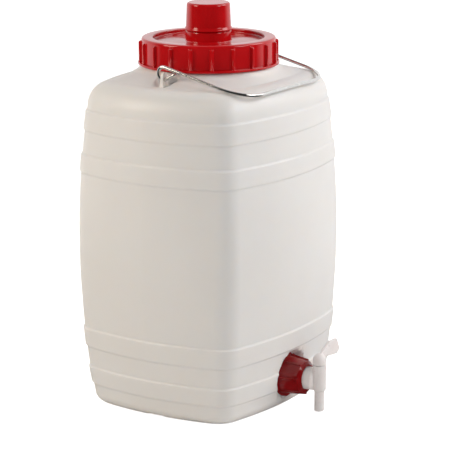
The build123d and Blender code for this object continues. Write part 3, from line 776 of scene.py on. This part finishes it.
def union_nut():
    """The nut, one closed section turned round the spigot's axis."""
    section = rounded([
        (NUT_BORE_R, NUT_BACK, 0.3), (NUT_FLANGE_R, NUT_BACK, 0.4), (NUT_FLANGE_R, NUT_FLANGE_FRONT, 0.8),
        (NUT_BACK_R, NUT_FLANGE_FRONT, 0.7), (NUT_FRONT_R, NUT_WALL_END, 0.5),
        (TAP_BARREL_HOLE_R + 1.2, NUT_FRONT, 0.5), (TAP_BARREL_HOLE_R, NUT_FRONT, 0.4),
        (TAP_BARREL_HOLE_R, FLANGE_FRONT, 0), (NUT_BORE_R, FLANGE_FRONT, 0.3),
    ])
    angles = [a + NUT_RIB_TURN for a in rib_angles(NUT_RIB_COUNT, NUT_BACK_R, NUT_RIB_PLACES)]
    loops = turned_loops(finely(section, 1.0), angles, nut_relief)
    return skin("nut", moved(loops, along_outlet), wrap=True)


def moulded(name, node, voxel, rounds):
    """A node's own shape with the soft inner corners and edges that moulding leaves."""
    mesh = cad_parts[node].data.copy()
    piece = bpy.data.objects.new(name, mesh)
    bpy.context.scene.collection.objects.link(piece)
    fine = piece.modifiers.new("fine", "REMESH")
    fine.mode = "VOXEL"
    fine.voxel_size = voxel * MM
    soften = piece.modifiers.new("soften", "SMOOTH")
    soften.factor = 0.5
    soften.iterations = rounds
    apply_modifiers(piece)
    shade_smooth(piece, 60.0)
    return piece


# ---- materials ----

def link(tree, source, socket):
    tree.links.new(source, socket)


def plain_shader(name, settings):
    """A Principled material with constants set on its own sockets."""
    material = bpy.data.materials.new(name)
    material.use_nodes = True
    principled = material.node_tree.nodes["Principled BSDF"]
    for socket, value in settings.items():
        principled.inputs[socket].default_value = value
    return material, material.node_tree, principled


def noise(tree, scale, detail=2.0, stretch=(1.0, 1.0, 1.0)):
    """Noise in the piece's own space, in features per metre."""
    coordinates = tree.nodes.new("ShaderNodeTexCoord")
    mapping = tree.nodes.new("ShaderNodeMapping")
    mapping.inputs["Scale"].default_value = stretch
    texture = tree.nodes.new("ShaderNodeTexNoise")
    texture.inputs["Scale"].default_value = scale
    texture.inputs["Detail"].default_value = detail
    link(tree, coordinates.outputs["Object"], mapping.inputs["Vector"])
    link(tree, mapping.outputs["Vector"], texture.inputs["Vector"])
    return texture.outputs["Fac"]


def ranged(tree, value, low, high):
    """The middle of a noise's range mapped to low to high."""
    change = tree.nodes.new("ShaderNodeMapRange")
    change.inputs["From Min"].default_value = 0.3
    change.inputs["From Max"].default_value = 0.7
    change.inputs["To Min"].default_value = low
    change.inputs["To Max"].default_value = high
    link(tree, value, change.inputs["Value"])
    return change.outputs["Result"]


def tint(tree, principled, value, first, second):
    """Colours a material between two colours, by a value."""
    blend = tree.nodes.new("ShaderNodeMix")
    blend.data_type = "RGBA"
    blend.inputs["A"].default_value = (*first, 1.0)
    blend.inputs["B"].default_value = (*second, 1.0)
    link(tree, ranged(tree, value, 0.0, 1.0), blend.inputs["Factor"])
    link(tree, blend.outputs["Result"], principled.inputs["Base Color"])


def roughen(tree, principled, value, low, high):
    """Varies a material's roughness from low to high, by a value."""
    link(tree, ranged(tree, value, low, high), principled.inputs["Roughness"])


def bumpy(tree, principled, heights):
    """Adds bumps; each is (value, depth in millimetres)."""
    last = None
    for value, depth in heights:
        bump = tree.nodes.new("ShaderNodeBump")
        bump.inputs["Strength"].default_value = 1.0
        bump.inputs["Distance"].default_value = depth * MM
        link(tree, value, bump.inputs["Height"])
        if last:
            link(tree, last, bump.inputs["Normal"])
        last = bump.outputs["Normal"]
    link(tree, last, principled.inputs["Normal"])


def natural_hdpe():
    material, tree, principled = plain_shader("natural_hdpe", {
        "Subsurface Weight": 0.6, "Subsurface Radius": (1.0, 0.82, 0.68), "Subsurface Scale": 0.006,
        "IOR": 1.5,
    })
    tint(tree, principled, noise(tree, 7.0, 3.0), (0.80, 0.765, 0.735), (0.84, 0.805, 0.78))
    roughen(tree, principled, noise(tree, 60.0), 0.36, 0.46)
    waves = noise(tree, 28.0, 1.0, (1.0, 1.0, 0.35))
    bumpy(tree, principled, [(waves, 0.25), (noise(tree, 700.0), 0.02)])
    return material


def red_plastic():
    material, tree, principled = plain_shader("red_plastic", {"IOR": 1.5})
    tint(tree, principled, noise(tree, 30.0), (0.47, 0.003, 0.005), (0.55, 0.005, 0.008))
    roughen(tree, principled, noise(tree, 90.0), 0.08, 0.13)
    bumpy(tree, principled, [(noise(tree, 60.0, 1.0), 0.05), (noise(tree, 1500.0, 1.0), 0.002)])
    return material


def dark_red_plastic():
    material, tree, principled = plain_shader("dark_red_plastic", {"IOR": 1.5})
    tint(tree, principled, noise(tree, 50.0), (0.20, 0.002, 0.003), (0.28, 0.003, 0.005))
    roughen(tree, principled, noise(tree, 120.0), 0.09, 0.14)
    bumpy(tree, principled, [(noise(tree, 150.0, 1.0), 0.05), (noise(tree, 1500.0, 1.0), 0.004)])
    return material


def steel_wire():
    material, tree, principled = plain_shader("steel_wire", {"Metallic": 1.0})
    tint(tree, principled, noise(tree, 200.0), (0.66, 0.65, 0.64), (0.78, 0.77, 0.75))
    roughen(tree, principled, noise(tree, 400.0, 2.0, (0.2, 1.0, 1.0)), 0.10, 0.2)
    bumpy(tree, principled, [(noise(tree, 900.0, 2.0, (0.1, 1.0, 1.0)), 0.004)])
    return material


def tap_white():
    material, tree, principled = plain_shader("tap_white", {
        "Subsurface Weight": 0.35, "Subsurface Radius": (1.0, 0.85, 0.8), "Subsurface Scale": 0.003,
        "IOR": 1.5,
    })
    tint(tree, principled, noise(tree, 60.0), (0.82, 0.775, 0.765), (0.86, 0.82, 0.81))
    roughen(tree, principled, noise(tree, 200.0), 0.26, 0.36)
    bumpy(tree, principled, [(noise(tree, 150.0, 1.0), 0.08), (noise(tree, 1200.0, 1.0), 0.004)])
    return material


def seal():
    material, tree, principled = plain_shader("seal", {"IOR": 1.45})
    tint(tree, principled, noise(tree, 90.0), (0.62, 0.61, 0.58), (0.68, 0.67, 0.64))
    roughen(tree, principled, noise(tree, 300.0), 0.55, 0.7)
    bumpy(tree, principled, [(noise(tree, 900.0), 0.02)])
    return material


def dress(piece, material):
    """Gives a piece its one material."""
    piece.data.materials.clear()
    piece.data.materials.append(material)


# ---- studio ----

TOWARDS_CAMERA = Vector((-0.8138, -0.5344, 0.2285))
CAMERA_RIGHT = Vector((0.5489, -0.8359, 0.0))
CAMERA_ROLL = 0.00615     # radians by which an upright line leans to the left in the picture
CAMERA_AIM = Vector((0.0, 0.0, 0.1785))
CAMERA_DISTANCE = 2.4681
CAMERA_SENSOR = 36.0
CAMERA_LENS = 178.9
CAMERA_SHIFT = (0.0537, -0.0128)
LEVEL_BACK = Vector((TOWARDS_CAMERA.x, TOWARDS_CAMERA.y, 0.0)).normalized()
LAMP_DISTANCE = 1.9
AMBIENT_STRENGTH = 0.36
WHITE = (1.0, 1.0, 1.0, 1.0)
FLOOR_HALF = 4.0
FLOOR_PAINT = (0.95, 0.94, 0.93, 1.0)
FLOOR_LIFT = (0.85, 0.85, 0.85, 1.0)   # added where the camera sees the floor, so that it stays pale


def camera():
    """The camera, with a slight roll."""
    data = bpy.data.cameras.new("camera")
    data.sensor_width = CAMERA_SENSOR
    data.lens = CAMERA_LENS
    data.shift_x, data.shift_y = CAMERA_SHIFT
    eye = bpy.data.objects.new("camera", data)
    bpy.context.scene.collection.objects.link(eye)
    up = TOWARDS_CAMERA.cross(CAMERA_RIGHT)
    right = CAMERA_RIGHT * math.cos(CAMERA_ROLL) - up * math.sin(CAMERA_ROLL)
    turn = Matrix((right, TOWARDS_CAMERA.cross(right), TOWARDS_CAMERA)).transposed()
    eye.matrix_world = Matrix.Translation(CAMERA_AIM + TOWARDS_CAMERA * CAMERA_DISTANCE) @ turn.to_4x4()
    bpy.context.scene.camera = eye


def softbox(name, right_of_camera, height, width, tall, power, colour):
    """An area lamp aimed at the barrel; its bearing is in degrees to the right of the camera."""
    turn = math.radians(right_of_camera)
    level = LEVEL_BACK * math.cos(turn) + CAMERA_RIGHT * math.sin(turn)
    rise = math.radians(height)
    direction = level * math.cos(rise) + Vector((0, 0, math.sin(rise)))
    data = bpy.data.lights.new(name, "AREA")
    data.shape = "RECTANGLE"
    data.size = width
    data.size_y = tall
    data.energy = power
    data.color = colour
    lamp = bpy.data.objects.new(name, data)
    bpy.context.scene.collection.objects.link(lamp)
    lamp.location = CAMERA_AIM + direction * LAMP_DISTANCE
    lamp.rotation_euler = direction.to_track_quat("Z", "Y").to_euler()
    lamp.visible_camera = False


def backdrop_side(tree, direction, low, high, dark, bright):
    """Bright towards the backdrop behind the barrel, dark towards the camera's side of the studio."""
    dot = tree.nodes.new("ShaderNodeVectorMath")
    dot.operation = "DOT_PRODUCT"
    dot.inputs[1].default_value = -LEVEL_BACK
    link(tree, direction, dot.inputs[0])
    change = tree.nodes.new("ShaderNodeMapRange")
    change.interpolation_type = "SMOOTHSTEP"
    change.inputs["From Min"].default_value = low
    change.inputs["From Max"].default_value = high
    change.inputs["To Min"].default_value = dark
    change.inputs["To Max"].default_value = bright
    link(tree, dot.outputs["Value"], change.inputs["Value"])
    return change.outputs["Result"]


def studio_world():
    """Even light on the barrel, white behind it and a light-to-dark studio in its reflections."""
    world = bpy.data.worlds.new("studio")
    bpy.context.scene.world = world
    world.use_nodes = True
    tree = world.node_tree
    tree.nodes.clear()
    path = tree.nodes.new("ShaderNodeLightPath")
    coordinates = tree.nodes.new("ShaderNodeTexCoord")
    seen = backdrop_side(tree, coordinates.outputs["Generated"], 0.0, 0.5, 0.03, 1.0)
    ambient = tree.nodes.new("ShaderNodeBackground")
    ambient.inputs["Strength"].default_value = AMBIENT_STRENGTH
    white = tree.nodes.new("ShaderNodeBackground")
    mirrored = tree.nodes.new("ShaderNodeBackground")
    link(tree, seen, mirrored.inputs["Strength"])
    for shade in (ambient, white, mirrored):
        shade.inputs["Color"].default_value = WHITE
    not_diffuse = tree.nodes.new("ShaderNodeMath")
    not_diffuse.operation = "MAXIMUM"
    link(tree, path.outputs["Is Glossy Ray"], not_diffuse.inputs[0])
    link(tree, path.outputs["Is Transmission Ray"], not_diffuse.inputs[1])
    first = tree.nodes.new("ShaderNodeMixShader")
    link(tree, not_diffuse.outputs["Value"], first.inputs["Fac"])
    link(tree, ambient.outputs["Background"], first.inputs[1])
    link(tree, mirrored.outputs["Background"], first.inputs[2])
    second = tree.nodes.new("ShaderNodeMixShader")
    link(tree, path.outputs["Is Camera Ray"], second.inputs["Fac"])
    link(tree, first.outputs["Shader"], second.inputs[1])
    link(tree, white.outputs["Background"], second.inputs[2])
    output = tree.nodes.new("ShaderNodeOutputWorld")
    link(tree, second.outputs["Shader"], output.inputs["Surface"])


def floor():
    """A pale sweep that keeps the barrel's shadow."""
    corners_of_floor = []
    for x, y in ((-1, -1), (1, -1), (1, 1), (-1, 1)):
        corners_of_floor.append((x * FLOOR_HALF, y * FLOOR_HALF, 0))
    mesh = bpy.data.meshes.new("floor")
    mesh.from_pydata(corners_of_floor, [], [(0, 1, 2, 3)])
    plane = bpy.data.objects.new("floor", mesh)
    bpy.context.scene.collection.objects.link(plane)
    material = bpy.data.materials.new("pale_floor")
    material.use_nodes = True
    tree = material.node_tree
    tree.nodes.clear()
    path = tree.nodes.new("ShaderNodeLightPath")
    coordinates = tree.nodes.new("ShaderNodeTexCoord")
    paint = tree.nodes.new("ShaderNodeBsdfDiffuse")
    paint.inputs["Color"].default_value = FLOOR_PAINT
    lift = tree.nodes.new("ShaderNodeEmission")
    link(tree, path.outputs["Is Camera Ray"], lift.inputs["Strength"])
    lift.inputs["Color"].default_value = FLOOR_LIFT
    both = tree.nodes.new("ShaderNodeAddShader")
    link(tree, paint.outputs["BSDF"], both.inputs[0])
    link(tree, lift.outputs["Emission"], both.inputs[1])
    mirrored = tree.nodes.new("ShaderNodeEmission")
    seen = backdrop_side(tree, coordinates.outputs["Object"], -0.1, 0.5, 0.05, 1.0)
    link(tree, seen, mirrored.inputs["Strength"])
    choice = tree.nodes.new("ShaderNodeMixShader")
    link(tree, path.outputs["Is Glossy Ray"], choice.inputs["Fac"])
    link(tree, both.outputs["Shader"], choice.inputs[1])
    link(tree, mirrored.outputs["Emission"], choice.inputs[2])
    output = tree.nodes.new("ShaderNodeOutputMaterial")
    link(tree, choice.outputs["Shader"], output.inputs["Surface"])
    mesh.materials.append(material)


# ---- the scene ----

MATERIALS = {
    "natural_hdpe": natural_hdpe(), "red_plastic": red_plastic(), "dark_red_plastic": dark_red_plastic(),
    "steel_wire": steel_wire(), "tap_white": tap_white(), "seal": seal(),
}


def place(piece, node, body, slot):
    """Puts a dressed piece in the place of its CAD node."""
    dress(piece, MATERIALS[slot])
    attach(piece, body)
    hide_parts(node)


place(barrel(), "barrel", "barrel", "natural_hdpe")
place(lid(), "lid", "lid", "red_plastic")
place(cap(), "cap", "cap", "red_plastic")
place(bail(), "bail", "bail", "steel_wire")
place(union_nut(), "union_nut", "barrel", "dark_red_plastic")
place(moulded("tap_shell", "tap_body", 0.5, 3), "tap_body", "barrel", "tap_white")
place(moulded("plug_and_lever", "tap_plug", 0.45, 3), "tap_plug", "tap_plug", "tap_white")
for gasket in ("lid_seal", "cap_seal", "tap_gasket"):
    dress(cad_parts[gasket], MATERIALS["seal"])

camera()
studio_world()
floor()
softbox("left_softbox", -72, 28, 0.7, 1.0, 16.3, (1.0, 0.89, 0.75))
softbox("front_softbox", 62, 30, 0.6, 0.8, 9.5, (1.0, 0.97, 0.95))
softbox("right_softbox", 98, 35, 0.8, 1.0, 12.5, (1.0, 0.98, 0.97))

bpy.context.scene.view_settings.view_transform = "Standard"
